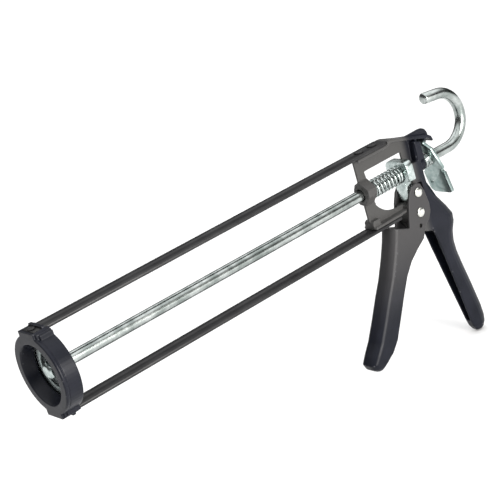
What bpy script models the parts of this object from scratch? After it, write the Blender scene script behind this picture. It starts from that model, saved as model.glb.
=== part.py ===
"""Skeleton caulking gun for 50 mm sealant cartridges.

Two flat rails join a nose ring to a die-cast body with a fixed rear handle. A push rod with a plunger
and a hanging hook runs through the body. The trigger pushes a sprung drive plate that grips the rod,
and a sprung catch plate holds the rod between strokes.

Gun axes: X runs back along the rod from the nose ring's front face, Y across, Z up, origin on the
rod's axis. All sizes below are millimetres in those axes; one empty places the gun in the world.
"""
import math

import bmesh
import bpy
from mathutils import Matrix, Vector

MM = 0.001

# Where the gun's own origin lies in the world: the object stands centred over the world origin.
GUN_X = -188.25
GUN_Z = 137.5

CLEARANCE = 0.3          # gap between pieces that touch on the real gun
ROUND = 32               # sides of the larger turned pieces
ROUND_SMALL = 20         # sides of pins, holes and rivets

# Nose ring
RING_RADIUS = 26.0
RING_DEPTH = 12.0
RING_BORE = 17.0
RING_MOUTH = 20.2        # radius of the funnel that leads into the bore
RING_SEAT_X = 8.5        # front end of the cartridge recess
RING_SEAT_RADIUS = 24.2
RING_SIDES = 64

# Rails
RAIL_WIDTH = 12.7
RAIL_THICK = 2.0
RAIL_INNER = 26.0        # height of each rail's inner face from the rod axis
RAIL_FRONT = 2.2
UPPER_RAIL_END = 295.0
LOWER_RAIL_END = 292.0

# Rod and plunger
ROD_RADIUS = 4.0
ROD_SHOULDER_X = 13.2
SPIGOT_RADIUS = 3.0
SPIGOT_FRONT = 5.8
HOOK_RADIUS = 19.7
HOOK_CENTRE_X = 352.8
HOOK_ARC_END = 84.0      # angle where the hook runs out straight, a little short of level
HOOK_END_X = 341.6
ROD_SIDES = 24
DISC_FRONT = 9.0
DISC_THICK = 1.6
DISC_RADIUS = 22.5
NUT_FRONT = 4.4
NUT_BACK = 8.7
NUT_RADIUS = 6.0

# Body casting
WEB_HALF = 1.0
WEB_FRONT = 266.3
FLANGE_THICK = 2.0
REAR_FLANGE_HALF = 4.6   # the top flange narrows to this behind the rail
HUMP_HALF = 1.1
HOUSING_HALF = 6.6       # half-width of the rod housing
COLUMN_HALF = 7.0        # half-width of the column between the housing and the top flange
NECK_HALF = 5.4          # half-width of the neck between the trigger's cheeks
BOSS_FRONT = 265.3
BOSS_BACK = 273.6
COLUMN_FRONT = 308.7
WINDOW_REAR = 316.4      # front of the neck behind the push pin
REAR_BOSS_BACK = 325.0
REAR_BOSS_RADIUS = 5.8
BORE_RADIUS = 4.4

# Drive plate and springs
PLATE_FRONT = 302.2
PLATE_THICK = 6.0
PLATE_HALF = 10.5
PLATE_TOP = 9.6
TAIL_HALF = 5.0
TAIL_BOTTOM = -19.9
TAIL_THICK = 4.0
SPRING_RADIUS = 5.85
SPRING_WIRE = 0.65
SPRING_TURNS = 10
CATCH_SPRING_RADIUS = 5.4
CATCH_SPRING_WIRE = 0.45
CATCH_SPRING_TURNS = 3

# Trigger
PIVOT = (306.7, -29.5)
PUSH_PIN = (309.1, -15.5)
PIN_RADIUS = 2.5
PIN_HOLE = 2.8
PIN_HEAD = 3.4
CHEEK_IN = 5.8
CHEEK_OUT = 7.8
GRIP_HALF = 7.8
GRIP_WALL = 2.2

# Catch plate
CATCH_PIVOT = (327.8, 14.6)
CATCH_THICK = 2.5
CATCH_HALF = 10.0
CATCH_BOTTOM = -28.0

# Rail rivets
RIVET_RADIUS = 1.8
RIVET_HEAD = 3.4
RIVET_HOLE = 2.1
RIVET_HOLE_END = 24.3    # height where the blind holes in the flanges stop
RIVET_SHANK_END = 24.6
UPPER_RIVETS_X = (273.8, 286.0)
LOWER_RIVETS_X = (272.5, 284.0)
NOSE_RIVET_X = 4.6
NOSE_RIVET_RADIUS = 1.3
NOSE_RIVET_HEAD = 2.5
NOSE_RIVET_HOLE = 1.6


# ---------------------------------------------------------------- shapes

def make_mesh(points, faces):
    """Closed mesh, in metres, from points in millimetres, with its faces turned outwards."""
    mesh = bpy.data.meshes.new("shape")
    mesh.from_pydata([Vector(point) * MM for point in points], [], faces)
    shape = bmesh.new()
    shape.from_mesh(mesh)
    bmesh.ops.recalc_face_normals(shape, faces=shape.faces)
    if shape.calc_volume(signed=True) < 0:
        bmesh.ops.reverse_faces(shape, faces=shape.faces)
    shape.to_mesh(mesh)
    shape.free()
    return mesh


def loft(sections):
    """Skin over closed sections with equally many points, with a flat cap at each end."""
    count = len(sections[0])
    points = [point for section in sections for point in section]
    faces = []
    for row in range(len(sections) - 1):
        for i in range(count):
            j = (i + 1) % count
            faces.append((row * count + i, row * count + j, (row + 1) * count + j, (row + 1) * count + i))
    faces.append(tuple(range(count)))
    faces.append(tuple(range(len(points) - count, len(points))))
    return make_mesh(points, faces)


def prism(outline, low, high):
    """Outline of (x, z) points, extruded across the gun from y = low to y = high."""
    return loft([[(x, y, z) for x, z in outline] for y in (low, high)])


def plate_across(outline, low, high):
    """Outline of (y, z) points, extruded along the gun from x = low to x = high."""
    return loft([[(x, y, z) for y, z in outline] for x in (low, high)])


def box(x, y, z):
    """Block between the pairs of limits x, y and z."""
    outline = [(x[0], z[0]), (x[1], z[0]), (x[1], z[1]), (x[0], z[1])]
    return prism(outline, y[0], y[1])


def turned(profile, centre, axis="X", sides=ROUND, phase=0.0):
    """Body turned about a line through centre, from a closed profile of (along, radius) points.

    A profile that starts and ends on the axis gives a solid, any other gives a ring.
    """
    solid = profile[0][1] == 0
    inner = profile[1:-1] if solid else profile
    points = []
    for along, radius in inner:
        for i in range(sides):
            angle = phase + 2 * math.pi * i / sides
            points.append(axis_point(axis, centre, along, radius * math.cos(angle), radius * math.sin(angle)))
    faces = []
    rows = len(inner)
    for row in range(rows - 1 if solid else rows):
        following = (row + 1) % rows
        for i in range(sides):
            j = (i + 1) % sides
            faces.append((row * sides + i, row * sides + j, following * sides + j, following * sides + i))
    if solid:
        faces.append(tuple(range(sides)))
        faces.append(tuple(range((rows - 1) * sides, rows * sides)))
    return make_mesh(points, faces)


def axis_point(axis, centre, along, across, up):
    """Point at (along, across, up) about an axis through centre."""
    if axis == "X":
        offset = (along, across, up)
    elif axis == "Y":
        offset = (up, along, across)
    else:
        offset = (across, up, along)
    return tuple(c + o for c, o in zip(centre, offset))


def rod(start, end, radius, centre=(0, 0, 0), axis="X", sides=ROUND_SMALL, phase=0.0):
    """Plain round bar along an axis."""
    profile = [(start, 0), (start, radius), (end, radius), (end, 0)]
    return turned(profile, centre, axis, sides, phase)


def sweep(path, radii, sides):
    """Round bar along a path of points, with a radius at each."""
    path = [Vector(point) for point in path]
    sections = []
    side = None
    for i, point in enumerate(path):
        ahead = path[min(i + 1, len(path) - 1)] - path[max(i - 1, 0)]
        ahead.normalize()
        if side is None:
            side = ahead.orthogonal().normalized()
        side = (side - ahead * side.dot(ahead)).normalized()
        other = ahead.cross(side)
        section = []
        for k in range(sides):
            angle = 2 * math.pi * k / sides
            section.append(point + radii[i] * (side * math.cos(angle) + other * math.sin(angle)))
        sections.append(section)
    return loft(sections)


def coil(start, end, radius, wire, turns, lean=0.0, steps=16, sides=6):
    """Spring about the rod axis; lean tips its last turn back by that slope."""
    path = []
    for i in range(turns * steps + 1):
        share = i / (turns * steps)
        angle = 2 * math.pi * i / steps
        z = radius * math.sin(angle)
        path.append((start + (end - start) * share - lean * share * z, radius * math.cos(angle), z))
    return sweep(path, [wire] * len(path), sides)


def arc(centre, radius, first, last, steps):
    """Points of an arc between two angles in degrees."""
    points = []
    for i in range(steps + 1):
        angle = math.radians(first + (last - first) * i / steps)
        points.append((centre[0] + radius * math.cos(angle), centre[1] + radius * math.sin(angle)))
    return points


def combine(body, tool, operation):
    """Join body with tool, or cut tool from it."""
    objects = [bpy.data.objects.new("work", mesh) for mesh in (body, tool)]
    for item in objects:
        bpy.context.scene.collection.objects.link(item)
    modifier = objects[0].modifiers.new("Boolean", "BOOLEAN")
    modifier.object = objects[1]
    modifier.operation = operation
    modifier.solver = "EXACT"
    depsgraph = bpy.context.evaluated_depsgraph_get()
    result = bpy.data.meshes.new_from_object(objects[0].evaluated_get(depsgraph))
    for item in objects:
        bpy.data.objects.remove(item)
    return result


def join(first, *others):
    """One body from overlapping shapes."""
    for other in others:
        first = combine(first, other, "UNION")
    return first


def cut(body, *tools):
    """Body without the space that each tool fills."""
    for tool in tools:
        body = combine(body, tool, "DIFFERENCE")
    return body


# ---------------------------------------------------------------- materials and placing

def material(name, colour, roughness, metallic):
    """Plain material with one colour."""
    finish = bpy.data.materials.new(name)
    finish.use_nodes = True
    shader = finish.node_tree.nodes["Principled BSDF"]
    shader.inputs["Base Color"].default_value = (*colour, 1.0)
    shader.inputs["Roughness"].default_value = roughness
    shader.inputs["Metallic"].default_value = metallic
    return finish


BLACK_ENAMEL = ((0.035, 0.036, 0.042), 0.42, 0.1)
RAIL_BLACK = ((0.05, 0.05, 0.055), 0.4, 0.2)
ZINC = ((0.62, 0.66, 0.66), 0.26, 1.0)
SPRING_STEEL = ((0.5, 0.54, 0.54), 0.25, 1.0)
RIVET_STEEL = ((0.7, 0.7, 0.66), 0.25, 1.0)


def place(name, mesh, finish, parent, origin=(0.0, 0.0, 0.0)):
    """Object for one piece, with its own origin and material, hung on a parent."""
    mesh.name = name
    mesh.transform(Matrix.Translation(-Vector(origin) * MM))
    mesh.materials.clear()
    mesh.materials.append(material(name, *finish))
    mesh.shade_smooth()
    mesh.set_sharp_from_angle(angle=math.radians(35))
    piece = bpy.data.objects.new(name, mesh)
    bpy.context.scene.collection.objects.link(piece)
    piece.parent = parent
    piece.location = Vector(origin) * MM - parent_origin(parent)
    return piece


def parent_origin(parent):
    """A parent's place in the gun's axes."""
    return Vector(parent["gun_place"]) if "gun_place" in parent else Vector()


def joint_empty(name, parent, place_mm):
    """Empty on a joint's axis, which a moving body hangs on."""
    empty = bpy.data.objects.new(name, None)
    bpy.context.scene.collection.objects.link(empty)
    empty.parent = parent
    empty.location = Vector(place_mm) * MM
    empty["gun_place"] = tuple(Vector(place_mm) * MM)
    return empty


# ---------------------------------------------------------------- nose ring and rails

def nose_ring():
    """Ring with a bore for the nozzle, a recess for the cartridge and a pocket for each rail."""
    groove = RING_RADIUS - 0.5
    profile = [(0.0, RING_MOUTH), (0.0, 25.4), (0.6, RING_RADIUS), (2.0, RING_RADIUS), (2.1, groove), (2.7, groove)]
    profile += [(2.8, RING_RADIUS), (RING_DEPTH, RING_RADIUS), (RING_DEPTH, RING_BORE)]
    profile += [(RING_SEAT_X - 0.7, RING_BORE), (0.8, RING_MOUTH - 0.6)]
    body = turned(profile, (0, 0, 0), sides=RING_SIDES)
    body = join(body, *rail_pocket(1), *rail_pocket(-1))
    body = cut(body, rod(RING_SEAT_X, 14.0, RING_SEAT_RADIUS, sides=RING_SIDES))
    return cut(body, *rail_pocket_space(1), *rail_pocket_space(-1))


def rail_pocket(sign):
    """Stepped boss and bridge around a rail's front end."""
    steps = [(8.6, 27.9, 0.0), (10.2, 27.0, 1.4), (11.8, 26.2, 2.9)]
    solids = []
    for half, top, front in steps:
        limits = sorted((sign * (top - 5.0), sign * top))
        solids.append(box((front, RING_DEPTH), (-half, half), limits))
    bridge = sorted((sign * 26.6, sign * 29.3))
    solids.append(box((7.4, 9.8), (-8.0, 8.0), bridge))
    return solids


def rail_pocket_space(sign):
    """Open channel for the rail, bridged once, and the hole for its rivet."""
    half = RAIL_WIDTH / 2 + CLEARANCE
    floor = RAIL_INNER - CLEARANCE
    under_bridge = sorted((sign * floor, sign * (RAIL_INNER + RAIL_THICK + CLEARANCE)))
    open_part = sorted((sign * floor, sign * 31.0))
    channel = box((RAIL_FRONT - CLEARANCE, 14.0), (-half, half), under_bridge)
    front_window = box((RAIL_FRONT - CLEARANCE, 7.4), (-half, half), open_part)
    back_window = box((9.8, 14.0), (-half, half), open_part)
    hole = rod(sign * 21.0, sign * 27.0, NOSE_RIVET_HOLE, (NOSE_RIVET_X, 0, 0), "Z")
    return channel, front_window, back_window, hole


def rail(sign, end, rivets_x):
    """Flat strip with rounded rear corners and its rivet holes."""
    half = RAIL_WIDTH / 2
    corner = 2.5
    outline = [(RAIL_FRONT, -half)] + arc((end - corner, corner - half), corner, -90, 0, 4)
    outline += arc((end - corner, half - corner), corner, 0, 90, 4) + [(RAIL_FRONT, half)]
    heights = sorted((sign * RAIL_INNER, sign * (RAIL_INNER + RAIL_THICK)))
    strip = loft([[(x, y, z) for x, y in outline] for z in heights])
    holes = [(NOSE_RIVET_X, NOSE_RIVET_HOLE)] + [(x, RIVET_HOLE) for x in rivets_x]
    for x, radius in holes:
        strip = cut(strip, rod(sign * 20.0, sign * 32.0, radius, (x, 0, 0), "Z"))
    return strip


def rivet(x, sign, shank, head, depth):
    """Domed rivet through a rail's outer face, with its shank towards the rod."""
    seat = RAIL_INNER + RAIL_THICK + CLEARANCE
    profile = [(depth, 0), (depth, shank), (seat, shank), (seat, head), (seat + 0.35 * head / 3.4, head)]
    profile += [(seat + 0.9 * head / 3.4, head * 0.75), (seat + 1.2 * head / 3.4, head * 0.35)]
    profile += [(seat + 1.2 * head / 3.4, 0)]
    return turned([(sign * along, radius) for along, radius in profile], (x, 0, 0), "Z", ROUND_SMALL)


# ---------------------------------------------------------------- body casting

def window_outline():
    """Opening in the web for the rod, the main spring and the drive plate's tail."""
    bottom = arc((293.0, -0.6), 20.0, 212, 270, 8)
    outline = [(273.4, 14.4)] + bottom + [(WINDOW_REAR, -20.6), (WINDOW_REAR, -10.4), (COLUMN_FRONT, -10.4)]
    return outline + [(COLUMN_FRONT, 14.4)]


def web_outline():
    """Side view of the thin web between the rails, back to the column."""
    return [(WEB_FRONT, -24.8), (WEB_FRONT, 24.8), (298.0, 26.0), (318.0, 20.4), (320.0, 10.0),
            (320.0, -30.0), (300.0, -30.0), (297.0, -24.8)]


def top_flange_outline():
    """Side view of the top flange: under the rail, up behind its end, and down to the catch lip."""
    top = RAIL_INNER - CLEARANCE
    low = top - FLANGE_THICK
    step = UPPER_RAIL_END + CLEARANCE
    return [(WEB_FRONT, top), (step, top), (step, 28.0), (299.0, 27.8), (311.0, 24.0), (334.2, 17.3),
            (336.9, 15.3), (338.0, 11.8), (336.6, 11.6), (335.0, 13.9), (332.5, 15.4), (311.0, 21.8),
            (299.0, 25.0), (293.0, low), (WEB_FRONT, low)]


def top_flange():
    """Flange as wide as the rail under it, and narrower behind the rail's end."""
    half = RAIL_WIDTH / 2
    narrow_x = UPPER_RAIL_END + 8.0
    plan = [(WEB_FRONT - 1.0, -half), (UPPER_RAIL_END + 1.0, -half), (narrow_x, -REAR_FLANGE_HALF),
            (345.0, -REAR_FLANGE_HALF)]
    plan += [(x, -y) for x, y in reversed(plan)]
    block = loft([[(x, y, z) for x, y in plan] for z in (5.0, 35.0)])
    return combine(prism(top_flange_outline(), -half, half), block, "INTERSECT")


def hump_outline():
    """Side view of the thin level rib over the sloping rear of the top flange."""
    return [(311.5, 22.6), (329.5, 22.8), (333.0, 22.4), (335.2, 21.2), (336.8, 18.9), (337.4, 16.4),
            (335.0, 14.6), (318.0, 19.0)]


def boss_outline():
    """Front view of the front boss: blocky, and cut back on the far side."""
    return [(-1.4, 9.7), (-9.4, 4.1), (-8.7, -0.9), (-2.7, -7.9), (3.0, -7.0), (5.6, -3.0), (5.6, 3.0),
            (3.4, 7.6)]


def handle_section(z, front, back, front_half, back_half):
    """Level section of the neck or handle: a narrower flat front and a rounded back."""
    depth = back - front
    round_start = max(back - 1.3 * back_half, front + 0.3 * depth)
    points = [(front, -front_half + 0.6), (front + 0.6, -front_half)]
    steps = 10
    for i in range(steps + 1):
        angle = math.pi * i / steps
        x = round_start + (back - round_start) * math.sin(angle)
        points.append((x, -back_half * math.cos(angle)))
    points += [(front + 0.6, front_half), (front, front_half - 0.6)]
    return [(x, y, z) for x, y in points]


# Height, front edge, back edge, and half-widths at the front and the back of the neck and handle.
HANDLE_STATIONS = (
    (18.0, 318.0, 323.5, 6.0, 6.0),
    (2.0, 316.5, 323.0, 6.2, 6.6),
    (-5.0, 312.8, 321.8, 5.6, 6.4),
    (-12.0, 313.6, 323.0, 5.4, 6.2),
    (-18.0, 313.8, 326.2, 5.4, 6.2),
    (-27.0, 314.0, 330.0, 5.4, 6.3),
    (-37.0, 314.2, 336.6, 5.4, 6.8),
    (-44.0, 315.0, 340.4, 5.6, 7.4),
    (-49.5, 316.2, 339.8, 6.0, 7.6),
    (-56.0, 317.8, 336.6, 6.0, 7.4),
    (-63.0, 319.2, 335.2, 6.0, 7.2),
    (-71.0, 320.8, 335.6, 5.7, 7.0),
    (-81.0, 322.7, 337.4, 5.3, 6.8),
    (-100.0, 326.4, 341.6, 4.5, 6.4),
    (-119.5, 330.1, 345.4, 3.6, 6.0),
    (-127.5, 331.7, 346.2, 3.2, 5.6),
    (-132.5, 333.2, 345.8, 2.9, 4.8),
    (-136.0, 335.4, 344.0, 2.3, 3.4),
    (-137.5, 337.4, 342.4, 1.4, 2.0),
)


def handle_cavity():
    """Wedge-shaped hollow in the handle's front, narrowing to nothing near the tip."""
    stations = ((-48.5, 300.0, 326.0, 5.2), (-63.0, 300.0, 326.6, 4.7), (-100.0, 310.0, 333.4, 3.2),
                (-127.0, 318.0, 336.6, 1.7))
    sections = []
    for z, front, back, half in stations:
        sections.append([(front, -half, z), (back, -half, z), (back, half, z), (front, half, z)])
    return loft(sections)


def body_casting():
    """Web, flanges, rod bosses, neck and handle in one casting."""
    half = RAIL_WIDTH / 2
    low = RAIL_INNER - CLEARANCE
    body = loft([handle_section(*station) for station in HANDLE_STATIONS])
    pivot_block = [(298.3, -21.5), (298.3, -34.5), (303.8, -42.5), (311.8, -46.5), (318.6, -47.5),
                   (320.0, -21.5)]
    housing = [(COLUMN_FRONT, -7.9), (COLUMN_FRONT, 4.6), (320.0, 4.6), (320.0, -7.9)]
    under_housing = [(COLUMN_FRONT, -9.6), (COLUMN_FRONT, -7.0), (321.0, -7.0), (322.0, -24.0), (313.0, -24.0)]
    column = [(318.0, 4.0), (318.0, 18.0), (323.5, 16.5), (323.5, 4.0)]
    lug = [(266.0, -low), (266.0, -20.8), (267.6, -19.4), (273.0, -19.4), (273.0, -low)]
    flange_z = (-low, FLANGE_THICK - low)
    body = join(
        body,
        prism(pivot_block, -NECK_HALF, NECK_HALF),
        prism(under_housing, -NECK_HALF, NECK_HALF),
        prism(housing, -HOUSING_HALF, HOUSING_HALF),
        prism(column, -COLUMN_HALF, COLUMN_HALF),
        prism(web_outline(), -WEB_HALF, WEB_HALF),
        top_flange(),
        prism(hump_outline(), -HUMP_HALF, HUMP_HALF),
        box((WEB_FRONT, LOWER_RAIL_END), (-half, half), flange_z),
        box((LOWER_RAIL_END - 1.0, 300.3), (-NECK_HALF, NECK_HALF), flange_z),
        prism(lug, -4.6, 4.6),
        box((329.6, 331.2), (-4.4, 4.4), (13.2, 17.0)),
    )
    body = cut(body, prism(window_outline(), -12.0, 12.0))
    body = join(
        body,
        plate_across(boss_outline(), BOSS_FRONT, BOSS_BACK),
        rod(320.0, REAR_BOSS_BACK, REAR_BOSS_RADIUS),
    )
    holes = [rod(250.0, 330.0, BORE_RADIUS, sides=ROUND_SMALL)]
    holes.append(rod(-12.0, 12.0, PIN_HOLE, (PIVOT[0], 0, PIVOT[1]), "Y"))
    holes += [rod(RIVET_HOLE_END, 30.0, RIVET_HOLE, (x, 0, 0), "Z") for x in UPPER_RIVETS_X]
    holes += [rod(-30.0, -RIVET_HOLE_END, RIVET_HOLE, (x, 0, 0), "Z") for x in LOWER_RIVETS_X]
    return cut(body, handle_cavity(), *holes)


# ---------------------------------------------------------------- rod and plunger

def push_rod():
    """Round bar with a threaded front spigot and a hook bent up at the back."""
    path = [(SPIGOT_FRONT, 0, 0), (SPIGOT_FRONT + 0.6, 0, 0), (ROD_SHOULDER_X, 0, 0)]
    radii = [SPIGOT_RADIUS - 0.5, SPIGOT_RADIUS, SPIGOT_RADIUS]
    path += [(ROD_SHOULDER_X + 0.01, 0, 0), (ROD_SHOULDER_X + 0.8, 0, 0)]
    radii += [ROD_RADIUS - 0.5, ROD_RADIUS]
    bend = arc((HOOK_CENTRE_X, HOOK_RADIUS), HOOK_RADIUS, -90, HOOK_ARC_END, 24)
    path += [(x, 0, z) for x, z in bend]
    radii += [ROD_RADIUS] * len(bend)
    last_x, last_z = bend[-1]
    rise = 1 / math.tan(math.radians(HOOK_ARC_END))
    for x in (HOOK_END_X + 0.8, HOOK_END_X):
        path.append((x, 0, last_z + (last_x - x) * rise))
    radii += [ROD_RADIUS, ROD_RADIUS - 0.8]
    return sweep(path, radii, ROD_SIDES)


def plunger_disc():
    """Pressed disc that pushes the cartridge's piston, with a rim turned back."""
    back = DISC_FRONT + DISC_THICK
    hole = SPIGOT_RADIUS + CLEARANCE
    profile = [(DISC_FRONT, hole), (DISC_FRONT, DISC_RADIUS - 1.0), (DISC_FRONT + 0.6, DISC_RADIUS - 0.2)]
    profile += [(DISC_FRONT + 1.4, DISC_RADIUS), (DISC_FRONT + 4.4, DISC_RADIUS)]
    profile += [(DISC_FRONT + 4.4, DISC_RADIUS - DISC_THICK), (back, DISC_RADIUS - DISC_THICK - 1.0)]
    profile += [(back, hole)]
    return turned(profile, (0, 0, 0), sides=48)


def plunger_washer():
    """Backing washer between the disc and the rod's shoulder."""
    front = DISC_FRONT + DISC_THICK + CLEARANCE
    back = ROD_SHOULDER_X - CLEARANCE
    hole = SPIGOT_RADIUS + CLEARANCE
    profile = [(front, hole), (front, 9.0), (front + 1.2, 9.0), (back, 7.6), (back, hole)]
    return turned(profile, (0, 0, 0))


def plunger_nut():
    """Hexagonal domed nut on the rod's front end."""
    hexagon = rod(NUT_FRONT, NUT_BACK, NUT_RADIUS, sides=6, phase=math.pi / 6)
    dome = [(NUT_FRONT - 0.1, 0), (NUT_FRONT - 0.1, 3.4), (NUT_FRONT + 1.0, 5.3)]
    dome += [(NUT_FRONT + 2.2, 6.3), (NUT_BACK + 1.0, 6.3), (NUT_BACK + 1.0, 0)]
    body = combine(hexagon, turned(dome, (0, 0, 0)), "INTERSECT")
    return cut(body, rod(SPIGOT_FRONT - 0.3, 12.0, SPIGOT_RADIUS + CLEARANCE))


# ---------------------------------------------------------------- drive

def drive_plate():
    """Thick plate that grips the rod: a wide head and a narrower tail for the push pin."""
    corner = 4.5
    tail_corner = 3.6
    outline = [(PLATE_HALF, -4.6)] + arc((PLATE_HALF - corner, PLATE_TOP - corner), corner, 0, 90, 5)
    outline += arc((corner - PLATE_HALF, PLATE_TOP - corner), corner, 90, 180, 5)
    outline += [(-PLATE_HALF, -4.6), (-TAIL_HALF, -6.2)]
    outline += arc((tail_corner - TAIL_HALF, TAIL_BOTTOM + tail_corner), tail_corner, 180, 270, 4)
    outline += arc((TAIL_HALF - tail_corner, TAIL_BOTTOM + tail_corner), tail_corner, 270, 360, 4)
    outline += [(TAIL_HALF, -6.2)]
    body = plate_across(outline, PLATE_FRONT, PLATE_FRONT + PLATE_THICK)
    tail_step = box((PLATE_FRONT + TAIL_THICK, 315.0), (-12.0, 12.0), (-25.0, -10.5))
    return cut(body, tail_step, rod(290.0, 315.0, BORE_RADIUS))


def main_spring():
    """Return spring between the front boss and the drive plate."""
    margin = SPRING_WIRE + CLEARANCE
    return coil(BOSS_BACK + margin, PLATE_FRONT - margin, SPRING_RADIUS, SPRING_WIRE, SPRING_TURNS)


# Front and back edges of the trigger's grip in side view, and its half-width, from the top down.
GRIP_STATIONS = (
    ((279.6, -30.6), (307.6, -41.7), GRIP_HALF),
    ((276.2, -39.8), (304.1, -48.2), GRIP_HALF),
    ((273.7, -45.3), (296.1, -52.9), GRIP_HALF),
    ((270.7, -51.5), (287.9, -58.7), GRIP_HALF),
    ((264.6, -62.9), (280.7, -66.7), GRIP_HALF),
    ((256.7, -75.1), (272.7, -79.3), GRIP_HALF),
    ((249.3, -87.2), (264.7, -92.7), GRIP_HALF),
    ((240.9, -100.3), (257.5, -104.7), GRIP_HALF),
    ((234.7, -107.9), (251.1, -111.3), 7.7),
    ((231.0, -112.9), (244.7, -115.5), 7.4),
    ((232.5, -116.9), (241.1, -117.9), 6.7),
    ((235.7, -119.5), (239.5, -119.7), 5.2),
)


def grip_section(front, back, half, wall=0.0, reach=0.0):
    """U-shaped outer section of the grip, or the space inside it, with rounded front corners."""
    front = Vector((front[0], 0, front[1]))
    back = Vector((back[0], 0, back[1]))
    ahead = (back - front).normalized()
    depth = (back - front).length + reach
    half -= wall
    corner = min(6.0 - wall, half * 0.7, 0.8 * depth)
    corner_steps = 5
    flat = [(depth, -half)]
    for i in range(corner_steps + 1):
        angle = math.pi / 2 * i / corner_steps
        flat.append((wall + corner * (1 - math.sin(angle)), -half + corner * (1 - math.cos(angle))))
    flat += [(along, -y) for along, y in reversed(flat)]
    return [tuple(front + ahead * along + Vector((0, y, 0))) for along, y in flat]


def cheek_outline():
    """Side view of the cheeks above the grip, which carry both pins."""
    return [(292.8, -40.5), (294.2, -34.1), (298.2, -20.5), (301.4, -13.5), (304.8, -9.7),
            (309.4, -8.7), (313.0, -10.5), (315.2, -16.5), (316.8, -26.5), (316.2, -32.5),
            (313.4, -37.1), (309.4, -39.7), (306.8, -43.9), (298.8, -46.5)]


def trigger():
    """Channel-shaped lever, open to the back, with two cheeks that straddle the casting."""
    body = loft([grip_section(*station) for station in GRIP_STATIONS])
    for sign in (1, -1):
        sides = sorted((sign * 4.0, sign * CHEEK_OUT))
        body = join(body, prism(cheek_outline(), *sides))
    lowest_hollow = len(GRIP_STATIONS) - 3
    hollow = [grip_section(*station, wall=GRIP_WALL, reach=12.0) for station in GRIP_STATIONS[:lowest_hollow]]
    above = [tuple(Vector(point) + Vector((3.0, 0, 16.0))) for point in hollow[0]]
    body = cut(body, loft([above] + hollow))
    slot = box((285.0, 325.0), (-CHEEK_IN, CHEEK_IN), (-44.5, 0.0))
    holes = [rod(-15.0, 15.0, PIN_HOLE, (x, 0, z), "Y") for x, z in (PIVOT, PUSH_PIN)]
    keyhole = rod(-15.0, 15.0, 1.5, (304.2, 0, -38.7), "Y")
    return cut(body, slot, *holes, keyhole)


def cross_pin(centre):
    """Rivet across the gun with a domed head outside each cheek."""
    seat = CHEEK_OUT + CLEARANCE
    half = [(0, PIN_RADIUS), (seat, PIN_RADIUS), (seat, PIN_HEAD), (seat + 0.4, PIN_HEAD)]
    half += [(seat + 0.9, PIN_HEAD * 0.78), (seat + 1.2, PIN_HEAD * 0.4)]
    ends = [(seat + 1.2, 0)]
    profile = [(-along, radius) for along, radius in reversed(half[1:] + ends)] + half[1:] + ends
    return turned(profile, (centre[0], 0, centre[1]), "Y", ROUND_SMALL)


# ---------------------------------------------------------------- catch

def catch_side():
    """Side view of the catch plate: leaning back, with a shallow bend above the thumb end."""
    rear = [Vector((328.4, 15.0)), Vector((336.8, -8.0)), Vector((340.4, -27.6))]
    front = []
    for i, point in enumerate(rear):
        ahead = (rear[min(i + 1, 2)] - rear[max(i - 1, 0)]).normalized()
        front.append(point + Vector((ahead.y, -ahead.x)) * CATCH_THICK)
    return [tuple(point) for point in rear] + [tuple(point) for point in reversed(front)]


def catch_plate():
    """Bent plate with a clearance hole for the rod, edge notches and one lower corner cut rounder."""
    body = prism(catch_side(), -CATCH_HALF, CATCH_HALF)
    near_corner = 2.0
    far_corner = 5.0
    outline = [(-6.0, 20.0), (-6.0, 13.0), (-CATCH_HALF, 9.0)]
    outline += arc((near_corner - CATCH_HALF, CATCH_BOTTOM + near_corner), near_corner, 180, 270, 4)
    outline += arc((CATCH_HALF - far_corner, CATCH_BOTTOM + far_corner), far_corner, 270, 360, 5)
    outline += [(CATCH_HALF, 9.0), (6.0, 13.0), (6.0, 20.0)]
    body = combine(body, plate_across(outline, 310.0, 350.0), "INTERSECT")
    tools = [rod(320.0, 345.0, 5.2, sides=ROUND_SMALL)]
    tools += [rod(320.0, 345.0, 1.6, (0, sign * CATCH_HALF, -9.8)) for sign in (1, -1)]
    tools.append(rod(320.0, 345.0, 1.8, (0, 5.8, -19.6)))
    return cut(body, *tools)


def catch_spring():
    """Short spring between the rear boss and the leaning catch plate."""
    margin = CATCH_SPRING_WIRE + CLEARANCE
    lean = (336.8 - 328.4) / (15.0 + 8.0)
    return coil(REAR_BOSS_BACK + margin, 330.3, CATCH_SPRING_RADIUS, CATCH_SPRING_WIRE,
                CATCH_SPRING_TURNS, lean)


# ---------------------------------------------------------------- the whole gun

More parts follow.
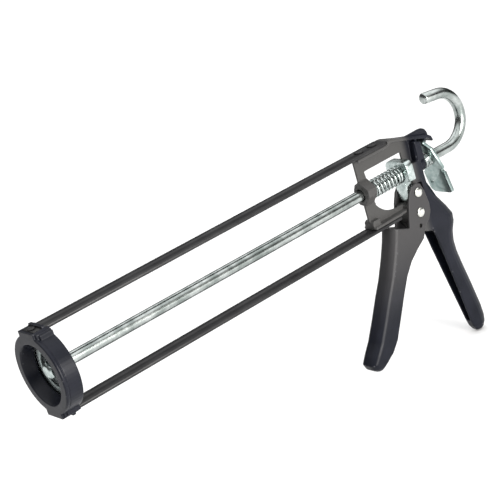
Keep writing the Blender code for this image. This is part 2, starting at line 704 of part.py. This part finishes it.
def build():
    """Place every piece of the gun."""
    for item in list(bpy.data.objects):
        bpy.data.objects.remove(item)
    gun = bpy.data.objects.new("gun_frame", None)
    bpy.context.scene.collection.objects.link(gun)
    gun.location = Vector((GUN_X, 0, GUN_Z)) * MM

    place("body_casting", body_casting(), BLACK_ENAMEL, gun)
    place("nose_ring", nose_ring(), BLACK_ENAMEL, gun)
    for label, sign, end, rivets_x in (
        ("upper", 1, UPPER_RAIL_END, UPPER_RIVETS_X),
        ("lower", -1, LOWER_RAIL_END, LOWER_RIVETS_X),
    ):
        place(f"{label}_rail", rail(sign, end, rivets_x), RAIL_BLACK, gun)
        nose = rivet(NOSE_RIVET_X, sign, NOSE_RIVET_RADIUS, NOSE_RIVET_HEAD, 21.4)
        place(f"{label}_nose_rivet", nose, RAIL_BLACK, gun)
        for where, x in zip(("front", "rear"), rivets_x):
            fixing = rivet(x, sign, RIVET_RADIUS, RIVET_HEAD, RIVET_SHANK_END)
            place(f"{label}_rail_rivet_{where}", fixing, RAIL_BLACK, gun)
    place("trigger_pivot_pin", cross_pin(PIVOT), RIVET_STEEL, gun, (PIVOT[0], 0, PIVOT[1]))
    place("main_spring", main_spring(), SPRING_STEEL, gun)
    place("catch_spring", catch_spring(), SPRING_STEEL, gun)

    slide = joint_empty("rod_slide", gun, (0, 0, 0))
    place("push_rod", push_rod(), ZINC, slide)
    place("plunger_disc", plunger_disc(), ZINC, slide)
    place("plunger_washer", plunger_washer(), ZINC, slide)
    place("plunger_nut", plunger_nut(), ZINC, slide)

    drive = joint_empty("drive_slide", gun, (PLATE_FRONT, 0, 0))
    place("drive_plate", drive_plate(), ZINC, drive)

    pivot = joint_empty("trigger_pivot", gun, (PIVOT[0], 0, PIVOT[1]))
    place("trigger", trigger(), BLACK_ENAMEL, pivot, (PIVOT[0], 0, PIVOT[1]))
    place("push_pin", cross_pin(PUSH_PIN), RIVET_STEEL, pivot, (PUSH_PIN[0], 0, PUSH_PIN[1]))

    catch = joint_empty("catch_pivot", gun, (CATCH_PIVOT[0], 0, CATCH_PIVOT[1]))
    place("catch_plate", catch_plate(), ZINC, catch, (CATCH_PIVOT[0], 0, CATCH_PIVOT[1]))


build()
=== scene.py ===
"""Looks of a skeleton caulking gun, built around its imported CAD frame.

Lengths are metres in the frame's axes: X runs back along the rod, Y across the gun, Z up.
The gun's own sizes are millimetres, which at() turns into places in the frame.
"""
import math

import bmesh
import bpy
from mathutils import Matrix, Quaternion, Vector


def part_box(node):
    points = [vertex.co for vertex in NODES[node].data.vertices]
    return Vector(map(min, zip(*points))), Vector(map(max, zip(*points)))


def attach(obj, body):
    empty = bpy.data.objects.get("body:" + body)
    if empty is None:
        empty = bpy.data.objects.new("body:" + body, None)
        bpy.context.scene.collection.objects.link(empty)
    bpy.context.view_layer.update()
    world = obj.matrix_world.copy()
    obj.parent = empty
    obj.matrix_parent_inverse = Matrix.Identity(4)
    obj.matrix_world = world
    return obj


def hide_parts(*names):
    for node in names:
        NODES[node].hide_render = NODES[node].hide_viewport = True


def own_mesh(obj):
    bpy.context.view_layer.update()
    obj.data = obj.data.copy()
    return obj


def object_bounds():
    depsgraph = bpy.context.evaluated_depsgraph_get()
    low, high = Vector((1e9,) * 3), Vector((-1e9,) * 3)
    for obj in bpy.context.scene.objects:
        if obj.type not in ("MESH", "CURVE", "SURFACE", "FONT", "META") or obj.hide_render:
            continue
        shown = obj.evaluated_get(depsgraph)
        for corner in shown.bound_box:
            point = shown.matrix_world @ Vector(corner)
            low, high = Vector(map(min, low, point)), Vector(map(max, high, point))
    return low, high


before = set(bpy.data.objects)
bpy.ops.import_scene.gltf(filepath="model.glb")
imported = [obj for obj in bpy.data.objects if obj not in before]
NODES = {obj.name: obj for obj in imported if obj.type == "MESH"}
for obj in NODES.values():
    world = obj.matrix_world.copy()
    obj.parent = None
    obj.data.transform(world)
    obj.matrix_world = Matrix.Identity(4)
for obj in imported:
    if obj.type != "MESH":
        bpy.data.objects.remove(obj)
CAD_BOX = [list(corner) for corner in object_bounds()]

MM = 0.001
SCENE = bpy.context.scene


def middle(node):
    """Centre of a CAD node's box."""
    low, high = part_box(node)
    return (low + high) / 2


AXIS_Z = middle("nose_ring").z          # height of the rod's axis
NOSE_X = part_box("nose_ring")[0].x       # front face of the nose ring


def at(x, y=0.0, z=0.0):
    """World point from millimetres behind the nose, across, and above the rod's axis."""
    return Vector((NOSE_X + x * MM, y * MM, AXIS_Z + z * MM))


def place(node):
    """Centre of a CAD node's box in the millimetres that at() takes."""
    centre = middle(node)
    return Vector((centre.x - NOSE_X, centre.y, centre.z - AXIS_Z)) / MM


# ---------------------------------------------------------------- meshes

SMOOTH_FACTOR = 0.5                     # how far one smoothing pass moves a vertex
WELD_DISTANCE = 1e-6                    # metres
BEVEL_SEGMENTS = 3
BEVEL_ANGLE = 30                        # degrees; flatter edges are left alone
SHARP_ANGLE = 40                        # degrees; steeper edges are shaded sharp
COIL_STEPS = 40                         # rings of wire in one turn of a spring


def add_piece(name, mesh, body, finish, replaced=()):
    """Object for a finished mesh that rides on a CAD body."""
    piece = bpy.data.objects.new(name, mesh)
    SCENE.collection.objects.link(piece)
    mesh.materials.clear()
    mesh.materials.append(finish)
    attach(piece, body)
    if replaced:
        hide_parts(*replaced)
    return piece


def evaluated(mesh, build):
    """Mesh after the modifiers that build() adds to a temporary object."""
    work = bpy.data.objects.new("work", mesh)
    SCENE.collection.objects.link(work)
    build(work)
    graph = bpy.context.evaluated_depsgraph_get()
    result = bpy.data.meshes.new_from_object(work.evaluated_get(graph))
    bpy.data.objects.remove(work)
    return result


def cast_shape(node, voxel, passes):
    """A CAD node's shape with the soft edges and corners of a die casting."""
    def build(work):
        remesh = work.modifiers.new("skin", "REMESH")
        remesh.mode = "VOXEL"
        remesh.voxel_size = voxel * MM
        remesh.use_smooth_shade = True
        smooth = work.modifiers.new("fillet", "SMOOTH")
        smooth.factor = SMOOTH_FACTOR
        smooth.iterations = passes
    return evaluated(NODES[node].data.copy(), build)


def bevelled(mesh, width):
    """Mesh with its sharp edges rounded by width millimetres."""
    def build(work):
        weld = work.modifiers.new("weld", "WELD")
        weld.merge_threshold = WELD_DISTANCE
        bevel = work.modifiers.new("round", "BEVEL")
        bevel.width = width * MM
        bevel.segments = BEVEL_SEGMENTS
        bevel.limit_method = "ANGLE"
        bevel.angle_limit = math.radians(BEVEL_ANGLE)
        bevel.harden_normals = True
    result = evaluated(mesh, build)
    result.shade_smooth()
    return result


def make_mesh(name, points, faces):
    """Closed mesh from world points, with its faces turned outwards and smooth below the sharp angle."""
    mesh = bpy.data.meshes.new(name)
    mesh.from_pydata(points, [], faces)
    shape = bmesh.new()
    shape.from_mesh(mesh)
    bmesh.ops.recalc_face_normals(shape, faces=shape.faces)
    shape.to_mesh(mesh)
    shape.free()
    mesh.shade_smooth()
    mesh.set_sharp_from_angle(angle=math.radians(SHARP_ANGLE))
    return mesh


def turned(name, profile, centre, axis, sides=64):
    """Body turned about an axis through centre (millimetres), from (along, radius) points.

    A profile that starts and ends on the axis gives a solid, any other gives a ring.
    """
    solid = profile[0][1] == 0
    inner = profile[1:-1] if solid else profile
    points = []
    for along, radius in inner:
        for i in range(sides):
            angle = 2 * math.pi * i / sides
            across, up = radius * math.cos(angle), radius * math.sin(angle)
            offset = {"X": (along, across, up), "Y": (up, along, across), "Z": (across, up, along)}[axis]
            points.append(at(*(c + o for c, o in zip(centre, offset))))
    rows = len(inner)
    faces = []
    for row in range(rows - 1 if solid else rows):
        following = (row + 1) % rows
        for i in range(sides):
            j = (i + 1) % sides
            faces.append((row * sides + i, row * sides + j, following * sides + j, following * sides + i))
    if solid:
        faces.append(tuple(range(sides)))
        faces.append(tuple(range((rows - 1) * sides, rows * sides)))
    return make_mesh(name, points, faces)


def swept(name, path, radii, sides):
    """Round wire or bar along a path of points in millimetres, with a radius at each."""
    path = [Vector(point) for point in path]
    points = []
    side = None
    for i, point in enumerate(path):
        ahead = (path[min(i + 1, len(path) - 1)] - path[max(i - 1, 0)]).normalized()
        if side is None:
            side = ahead.orthogonal().normalized()
        else:
            side = (side - ahead * side.dot(ahead)).normalized()
        other = ahead.cross(side)
        for k in range(sides):
            angle = 2 * math.pi * k / sides
            points.append(at(*(point + radii[i] * (side * math.cos(angle) + other * math.sin(angle)))))
    faces = []
    for row in range(len(path) - 1):
        for k in range(sides):
            j = (k + 1) % sides
            faces.append((row * sides + k, row * sides + j, (row + 1) * sides + j, (row + 1) * sides + k))
    faces.append(tuple(range(sides)))
    faces.append(tuple(range(len(points) - sides, len(points))))
    return make_mesh(name, points, faces)


def coil_path(start, end, radius, turns, closed, lean=0.0):
    """Spring's centre line along the rod; lean tips its back end.

    closed is the share of the length that each end turn takes.
    """
    path = []
    for i in range(turns * COIL_STEPS + 1):
        turn = i / COIL_STEPS
        if turn < 1:
            share = closed * turn
        elif turn > turns - 1:
            share = 1 - closed * (turns - turn)
        else:
            share = closed + (1 - 2 * closed) * (turn - 1) / (turns - 2)
        z = radius * math.sin(2 * math.pi * turn)
        y = radius * math.cos(2 * math.pi * turn)
        path.append((start + (end - start) * share - lean * share * z, y, z))
    return path


# ---------------------------------------------------------------- materials

def new_material(name):
    """Node material with its tree emptied but for the shader and the output."""
    finish = bpy.data.materials.new(name)
    finish.use_nodes = True
    tree = finish.node_tree
    return finish, tree.nodes, tree.links, tree.nodes["Principled BSDF"]


def noise(nodes, links, scale, detail=3.0, stretch=(1, 1, 1)):
    """Noise in the piece's own millimetres, optionally stretched along its axes."""
    place = nodes.new("ShaderNodeTexCoord")
    mapping = nodes.new("ShaderNodeMapping")
    mapping.inputs["Scale"].default_value = [1000 * scale * s for s in stretch]
    links.new(place.outputs["Object"], mapping.inputs["Vector"])
    texture = nodes.new("ShaderNodeTexNoise")
    texture.inputs["Scale"].default_value = 1.0
    texture.inputs["Detail"].default_value = detail
    links.new(mapping.outputs["Vector"], texture.inputs["Vector"])
    return texture.outputs["Fac"]


def ramp(nodes, links, value, stops):
    """Colour ramp from (position, colour) stops."""
    node = nodes.new("ShaderNodeValToRGB")
    elements = node.color_ramp.elements
    while len(elements) < len(stops):
        elements.new(0.5)
    for element, (position, colour) in zip(elements, stops):
        element.position = position
        element.color = (*colour, 1.0)
    links.new(value, node.inputs["Fac"])
    return node.outputs["Color"]


def spread(nodes, links, value, low, high):
    """A 0 to 1 value mapped to between low and high."""
    node = nodes.new("ShaderNodeMapRange")
    node.inputs["To Min"].default_value = low
    node.inputs["To Max"].default_value = high
    links.new(value, node.inputs["Value"])
    return node.outputs["Result"]


def bump(nodes, links, height, distance, strength, before=None):
    """Bump of distance millimetres from a height, on top of an earlier bump."""
    node = nodes.new("ShaderNodeBump")
    node.inputs["Distance"].default_value = distance * MM
    node.inputs["Strength"].default_value = strength
    links.new(height, node.inputs["Height"])
    if before:
        links.new(before, node.inputs["Normal"])
    return node.outputs["Normal"]


def mixed(nodes, links, factor, first, second):
    """Colour between first and second by factor; each is a socket or a plain colour."""
    node = nodes.new("ShaderNodeMix")
    node.data_type = "RGBA"
    links.new(factor, node.inputs["Factor"])
    for slot, value in (("A", first), ("B", second)):
        if isinstance(value, tuple):
            node.inputs[slot].default_value = (*value, 1.0)
        else:
            links.new(value, node.inputs[slot])
    return node.outputs["Result"]


def edge_wear_and_highlight(nodes, links, low, high):
    """A value that rises to one along a dense mesh's convex edges, broken up by noise: rubbed paint, and a
    painted highlight along the rims.
    """
    shape = nodes.new("ShaderNodeNewGeometry")
    rise = nodes.new("ShaderNodeMapRange")
    rise.inputs["From Min"].default_value = low
    rise.inputs["From Max"].default_value = high
    links.new(shape.outputs["Pointiness"], rise.inputs["Value"])
    patchy = nodes.new("ShaderNodeMath")
    patchy.operation = "MULTIPLY"
    links.new(rise.outputs["Result"], patchy.inputs[0])
    links.new(spread(nodes, links, noise(nodes, links, 0.8), 0.3, 1.0), patchy.inputs[1])
    return patchy.outputs["Value"]


def along(nodes, links, axis, low, high):
    """A value that rises from zero to one between two places on an axis of the gun, at rest."""
    place = nodes.new("ShaderNodeTexCoord")
    split = nodes.new("ShaderNodeSeparateXYZ")
    links.new(place.outputs["Object"], split.inputs["Vector"])
    rise = nodes.new("ShaderNodeMapRange")
    rise.interpolation_type = "SMOOTHSTEP"
    index = "XYZ".index(axis)
    rise.inputs["From Min"].default_value = at(*[low] * 3)[index]
    rise.inputs["From Max"].default_value = at(*[high] * 3)[index]
    links.new(split.outputs[axis], rise.inputs["Value"])
    return rise.outputs["Result"]


def enamel(name, dark, light, roughness, grain=1.4, worn_and_highlight=None, painted_sheen=None, span=()):
    """Satin black stoving enamel: faint colour drift, orange peel and dull patches.

    The edge colour lightens convex edges: rubbed paint, and a painted highlight along the rims. The sheen
    colour is a paler, duller painted sheen that stands in for light on the faces, and it comes in over a
    span of an axis.
    """
    finish, nodes, links, shader = new_material(name)
    colour = ramp(nodes, links, noise(nodes, links, 0.06), [(0.35, dark), (0.7, light)])
    # Painted sheen: a paler colour over one end of the span, where the faces look lit.
    if painted_sheen:
        colour = mixed(nodes, links, along(nodes, links, *span), colour, painted_sheen)
    # Convex edges take the lighter colour: partly rubbed paint, partly a painted highlight along the rims.
    if worn_and_highlight:
        colour = mixed(nodes, links, edge_wear_and_highlight(nodes, links, low=0.525, high=0.61), colour, worn_and_highlight)
    links.new(colour, shader.inputs["Base Color"])
    shader.inputs["Specular IOR Level"].default_value = SHEEN
    links.new(spread(nodes, links, noise(nodes, links, 0.35), *roughness), shader.inputs["Roughness"])
    peel = bump(nodes, links, noise(nodes, links, grain, 2.0), 0.03, 0.5)
    links.new(bump(nodes, links, noise(nodes, links, 5.0, 2.0), 0.01, 0.4, peel), shader.inputs["Normal"])
    return finish


def plated(name, dark, light, roughness, drawn=(1, 1, 1), mottle=0.25):
    """Clear zinc plating: bright metal with cloudy patches and fine lines along the stock."""
    finish, nodes, links, shader = new_material(name)
    shader.inputs["Metallic"].default_value = 1.0
    cloud = noise(nodes, links, mottle, 5.0)
    colour = ramp(nodes, links, cloud, [(0.36, dark), (0.64, light)])
    flecks = noise(nodes, links, 1.1, 4.0, drawn)
    fleck = ramp(nodes, links, flecks, [(0.3, (0.78, 0.8, 0.79)), (0.55, (1, 1, 1))])
    blend = nodes.new("ShaderNodeMix")
    blend.data_type = "RGBA"
    blend.blend_type = "MULTIPLY"
    blend.inputs["Factor"].default_value = 1.0
    links.new(colour, blend.inputs["A"])
    links.new(fleck, blend.inputs["B"])
    links.new(blend.outputs["Result"], shader.inputs["Base Color"])
    links.new(spread(nodes, links, noise(nodes, links, 0.6), *roughness), shader.inputs["Roughness"])
    lines = bump(nodes, links, noise(nodes, links, 2.5, 2.0, drawn), 0.01, 0.2)
    links.new(lines, shader.inputs["Normal"])
    return finish


SHEEN = 0.16                            # how strongly the black finishes mirror
GLOSS = (0.3, 0.44)                     # lowest and highest roughness of the enamel
# Lighter colour of convex edges: rubbed paint, and a painted highlight along the rims.
WORN_EDGE_AND_HIGHLIGHT = (0.075, 0.076, 0.082)
DARK = (0.005, 0.006, 0.010)
LIGHT = (0.010, 0.011, 0.017)
# Painted sheen on the body: paler towards its front over the web, dark on the neck and handle.
BODY = enamel("body_enamel", DARK, LIGHT, GLOSS, worn_and_highlight=WORN_EDGE_AND_HIGHLIGHT,
              painted_sheen=(0.058, 0.057, 0.056), span=("X", 317.5, 309.0))
BLACK = enamel("black_enamel", DARK, LIGHT, GLOSS, worn_and_highlight=WORN_EDGE_AND_HIGHLIGHT)
# Painted sheen on the trigger: paler towards its top, dark towards its lower end.
LEVER = enamel("lever_enamel", DARK, LIGHT, GLOSS, worn_and_highlight=WORN_EDGE_AND_HIGHLIGHT,
               painted_sheen=(0.045, 0.044, 0.045), span=("Z", -100.0, -36.0))
RAIL = enamel("rail_black", (0.016, 0.016, 0.017), (0.03, 0.03, 0.031), (0.28, 0.4), 2.2)
ZINC = plated("zinc_plate", (0.36, 0.42, 0.41), (0.58, 0.64, 0.63), (0.2, 0.34))
CATCH_ZINC = plated("catch_zinc", (0.24, 0.31, 0.3), (0.36, 0.43, 0.42), (0.3, 0.42))
ROD_ZINC = plated("rod_zinc", (0.25, 0.28, 0.27), (0.5, 0.53, 0.52), (0.16, 0.3), (0.025, 1, 1), 0.12)
SPRING = plated("spring_wire", (0.36, 0.41, 0.4), (0.66, 0.71, 0.7), (0.14, 0.26))
RIVET = plated("rivet_steel", (0.6, 0.6, 0.57), (0.85, 0.85, 0.8), (0.16, 0.3))


# ---------------------------------------------------------------- pieces

# Node, voxel size, smoothing passes, body and finish of each die casting.
CAST = (
    ("body_casting", 0.4, 4, "frame", BODY),
    ("nose_ring", 0.3, 3, "frame", BLACK),
    ("trigger", 0.4, 4, "trigger", LEVER),
)
for node, voxel, passes, body, finish in CAST:
    add_piece(node + "_skin", cast_shape(node, voxel, passes), body, finish, [node])

# Node, edge rounding, body, slot and finish of each piece with plain edges.
EDGED = (
    ("upper_rail", 0.5, "frame", "rail_black", RAIL),
    ("lower_rail", 0.5, "frame", "rail_black", RAIL),
    ("plunger_nut", 0.25, "rod", "zinc_plate", ZINC),
    ("drive_plate", 0.6, "drive", "zinc_plate", ZINC),
    ("catch_plate", 0.4, "catch", "zinc_plate", CATCH_ZINC),
)
for node, width, body, slot, finish in EDGED:
    add_piece(node + "_skin", bevelled(NODES[node].data.copy(), width), body, finish, [node])


def rivet_profile(seat, shank, head, rise, depth):
    """Half section of a peened rivet: shank, seat, rolled rim and a shallow dished crown."""
    rim = [(seat, shank), (seat, head * 0.97), (seat + rise * 0.2, head), (seat + rise * 0.42, head * 0.97)]
    crown = [(seat + rise * 0.7, head * 0.84), (seat + rise * 0.92, head * 0.6), (seat + rise, head * 0.38),
             (seat + rise * 0.9, head * 0.2), (seat + rise * 0.85, 0)]
    return [(depth, 0), (depth, shank)] + rim + crown


# Head's seat, shank radius, head radius, head height and inner end of each kind of rivet. The rails'
# rivets are measured from the rod's axis, and the pins, which have a head at both ends, from the
# gun's middle plane.
RAIL_RIVET = (28.3, 1.8, 3.4, 1.2, 24.6)
NOSE_RIVET = (28.3, 1.3, 2.5, 0.88, 21.4)
PIN = (8.1, 2.5, 3.4, 1.2, 0.0)
RAIL_RIVETS = (("rail_rivet_front", RAIL_RIVET), ("rail_rivet_rear", RAIL_RIVET), ("nose_rivet", NOSE_RIVET))
RIVET_SIDES = 48

for label, sign in (("upper", 1), ("lower", -1)):
    for name, sizes in RAIL_RIVETS:
        node = f"{label}_{name}"
        profile = [(sign * up, radius) for up, radius in rivet_profile(*sizes)]
        mesh = turned(node, profile, (place(node).x, 0, 0), "Z", RIVET_SIDES)
        add_piece(node + "_skin", mesh, "frame", RAIL, [node])
for node, body in (("trigger_pivot_pin", "frame"), ("push_pin", "trigger")):
    head = rivet_profile(*PIN)[2:]
    profile = [(-across, radius) for across, radius in reversed(head)] + head
    mesh = turned(node, profile, (place(node).x, 0, place(node).z), "Y")
    add_piece(node + "_skin", mesh, body, RIVET, [node])


def add_spring(name, path, wire, sides):
    """Spring of a wire radius along a path, in place of the CAD node of that name."""
    mesh = swept(name, path, [wire] * len(path), sides)
    return add_piece(name + "_skin", mesh, "frame", SPRING, [name])


BOSS_BACK = 273.6                       # main spring's seat on the front boss
PLATE_FRONT = 302.2                     # drive plate's front face at rest
MAIN_RADIUS = 5.75
MAIN_WIRE = 0.75                        # radius of the wire
MAIN_TURNS = 9
MAIN_CLOSED = 0.055
MAIN_MARGIN = MAIN_WIRE + 0.3           # from a seat to the wire's centre
path = coil_path(BOSS_BACK + MAIN_MARGIN, PLATE_FRONT - MAIN_MARGIN, MAIN_RADIUS, MAIN_TURNS, MAIN_CLOSED)
spring = add_spring("main_spring", path, MAIN_WIRE, 14)
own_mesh(spring)

REAR_BOSS_BACK = 325.0                  # catch spring's seat on the rear boss
CATCH_RADIUS = 5.4
CATCH_WIRE = 0.42                       # radius of the wire
CATCH_TURNS = 4
CATCH_CLOSED = 0.16
CATCH_START = REAR_BOSS_BACK + 0.75
CATCH_END = 330.3
CATCH_LEAN = (336.8 - 328.4) / 23.0     # slope of the catch plate, which the back turn follows
path = coil_path(CATCH_START, CATCH_END, CATCH_RADIUS, CATCH_TURNS, CATCH_CLOSED, CATCH_LEAN)
spring = add_spring("catch_spring", path, CATCH_WIRE, 12)
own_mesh(spring)

PLUNGER_HOLE = 3.3                      # radius of the hole for the rod's spigot
DISC_FRONT = 9.0
DISC_RADIUS = 22.5
GROOVE_BACK = DISC_FRONT + 0.35         # bottom of the shallow ring pressed into the front
RIM_BACK = DISC_FRONT + 4.4
groove = [(DISC_FRONT, 11.0), (GROOVE_BACK, 11.6), (GROOVE_BACK, 13.0), (DISC_FRONT, 13.6)]
rim = [(DISC_FRONT, DISC_RADIUS - 1.2), (DISC_FRONT + 0.15, DISC_RADIUS - 0.7),
       (DISC_FRONT + 0.6, DISC_RADIUS - 0.2), (DISC_FRONT + 1.4, DISC_RADIUS),
       (RIM_BACK - 0.3, DISC_RADIUS), (RIM_BACK, DISC_RADIUS - 0.3),
       (RIM_BACK, DISC_RADIUS - 1.4), (RIM_BACK - 0.3, DISC_RADIUS - 1.6)]
back = [(DISC_FRONT + 2.0, DISC_RADIUS - 1.9), (DISC_FRONT + 1.6, DISC_RADIUS - 2.5),
        (DISC_FRONT + 1.6, PLUNGER_HOLE)]
disc = [(DISC_FRONT, PLUNGER_HOLE)] + groove + rim + back
add_piece("plunger_disc_skin", turned("disc", disc, (0, 0, 0), "X", 96), "rod", ZINC,
          ["plunger_disc"])

WASHER_FRONT = 10.9
WASHER_BACK = 12.9
WASHER_RADIUS = 9.0
washer = [(WASHER_FRONT, PLUNGER_HOLE), (WASHER_FRONT, WASHER_RADIUS - 0.2),
          (WASHER_FRONT + 0.2, WASHER_RADIUS), (WASHER_BACK - 1.0, WASHER_RADIUS),
          (WASHER_BACK - 0.8, WASHER_RADIUS - 0.2), (WASHER_BACK, WASHER_RADIUS - 1.4),
          (WASHER_BACK, PLUNGER_HOLE)]
add_piece("plunger_washer_skin", turned("washer", washer, (0, 0, 0), "X"), "rod", ZINC,
          ["plunger_washer"])

ROD_RADIUS = 4.0
SPIGOT_FRONT = 5.8
THREAD_FRONT = 6.45
THREAD_STEP = 0.3                       # from a crest to the next root
THREAD_STEPS = 22
THREAD_CREST = 3.0
THREAD_ROOT = 2.75
SHOULDER = 13.2                         # where the spigot meets the bar
BAR_FRONT = 14.0
BAR_PLACES = range(20, 345, 12)
HOOK_CENTRE_X = 352.8
HOOK_RADIUS = 19.7
HOOK_ARC_END = 84.0                     # degrees above the level of the hook's centre
HOOK_STEPS = 64
HOOK_END_X = 341.6
HOOK_TIP = ((0.8, 4.0), (0.35, 3.8), (0.0, 3.2))    # distance from the end, and radius


def rod_path():
    """Centre line and radii of the rod: threaded spigot, shoulder, long bar and hook."""
    path = [(SPIGOT_FRONT, 0, 0), (SPIGOT_FRONT + 0.5, 0, 0)]
    radii = [2.4, THREAD_CREST]
    for i in range(THREAD_STEPS):
        path.append((THREAD_FRONT + THREAD_STEP * i, 0, 0))
        radii.append(THREAD_CREST if i % 2 else THREAD_ROOT)
    path += [(SHOULDER, 0, 0), (SHOULDER + 0.02, 0, 0), (BAR_FRONT, 0, 0)]
    radii += [2.8, 3.5, ROD_RADIUS]
    path += [(x, 0, 0) for x in BAR_PLACES]
    for i in range(HOOK_STEPS + 1):
        angle = math.radians(-90 + (HOOK_ARC_END + 90) * i / HOOK_STEPS)
        path.append((HOOK_CENTRE_X + HOOK_RADIUS * math.cos(angle), 0, HOOK_RADIUS * (1 + math.sin(angle))))
    last_x, _, last_z = path[-1]
    rise = 1 / math.tan(math.radians(HOOK_ARC_END))
    radii += [ROD_RADIUS] * (len(path) - len(radii))
    for before, radius in HOOK_TIP:
        x = HOOK_END_X + before
        path.append((x, 0, last_z + (last_x - x) * rise))
        radii.append(radius)
    return path, radii


add_piece("push_rod_skin", swept("push_rod", *rod_path(), 48), "rod", ROD_ZINC, ["push_rod"])


# ---------------------------------------------------------------- camera, floor and light

TARGET = at(166.43, 0, 4.76)            # what the camera points at
AZIMUTH = 33.893                        # degrees, as are the next two
ELEVATION = 18.675
ROLL = 17.003
DISTANCE = 0.94596                      # metres from the target
LENS = 106.37                           # focal length in millimetres
SENSOR = 36.0                           # sensor width in millimetres
FLOOR_GAP = 0.0005                      # metres, so that the floor doesn't meet the handle's tip


def add_camera():
    """Camera that looks back and down along the gun, rolled as a hand-held one."""
    turn = math.radians(AZIMUTH)
    drop = math.radians(ELEVATION)
    ahead = Vector((math.sin(turn) * math.cos(drop), math.cos(turn) * math.cos(drop), -math.sin(drop)))
    data = bpy.data.cameras.new("camera")
    data.lens = LENS
    data.sensor_width = SENSOR
    data.clip_start = 0.01
    data.clip_end = 50.0
    camera = bpy.data.objects.new("camera", data)
    SCENE.collection.objects.link(camera)
    camera.location = TARGET - ahead * DISTANCE
    camera.rotation_mode = "QUATERNION"
    roll = Quaternion((0, 0, 1), -math.radians(ROLL))
    camera.rotation_quaternion = ahead.to_track_quat("-Z", "Y") @ roll
    SCENE.camera = camera


def add_floor():
    """Plain pale floor just under the handle's tip."""
    mesh = bpy.data.meshes.new("floor")
    shape = bmesh.new()
    bmesh.ops.create_grid(shape, x_segments=2, y_segments=2, size=6.0)
    shape.to_mesh(mesh)
    shape.free()
    finish, nodes, links, shader = new_material("floor")
    drift = noise(nodes, links, 0.002)
    pale = ramp(nodes, links, drift, [(0.3, (0.86, 0.86, 0.86)), (0.7, (0.9, 0.9, 0.9))])
    links.new(pale, shader.inputs["Base Color"])
    shader.inputs["Roughness"].default_value = 0.9
    mesh.materials.append(finish)
    floor = bpy.data.objects.new("floor", mesh)
    floor.location = (0, 0, CAD_BOX[0][2] - FLOOR_GAP)
    SCENE.collection.objects.link(floor)


def add_softbox(name, direction, distance, size, power, colour=(1, 1, 1)):
    """Square area light that faces the gun from a direction."""
    data = bpy.data.lights.new(name, "AREA")
    data.shape = "SQUARE"
    data.size = size
    data.energy = power
    data.color = colour
    light = bpy.data.objects.new(name, data)
    towards = Vector(direction).normalized()
    light.location = TARGET + towards * distance
    light.rotation_mode = "QUATERNION"
    light.rotation_quaternion = towards.to_track_quat("Z", "Y")
    SCENE.collection.objects.link(light)


def add_world(low, high):
    """Soft dome of light: dim near the horizon and bright overhead."""
    world = bpy.data.worlds.new("studio")
    world.use_nodes = True
    nodes = world.node_tree.nodes
    links = world.node_tree.links
    place = nodes.new("ShaderNodeTexCoord")
    split = nodes.new("ShaderNodeSeparateXYZ")
    links.new(place.outputs["Generated"], split.inputs["Vector"])
    rise = nodes.new("ShaderNodeMapRange")
    rise.interpolation_type = "SMOOTHSTEP"
    rise.inputs["From Min"].default_value = 0.3
    rise.inputs["From Max"].default_value = 0.85
    rise.inputs["To Min"].default_value = low
    rise.inputs["To Max"].default_value = high
    links.new(split.outputs["Z"], rise.inputs["Value"])
    links.new(rise.outputs["Result"], nodes["Background"].inputs["Strength"])
    nodes["Background"].inputs["Color"].default_value = (1, 1, 1, 1)
    SCENE.world = world


add_camera()
add_floor()
add_world(low=0.05, high=1.9)
add_softbox("key", (0.05, -0.99, 0.14), distance=1.5, size=0.6, power=30, colour=(1.0, 0.98, 0.95))
SCENE.view_settings.view_transform = "Standard"
SCENE.view_settings.look = "None"
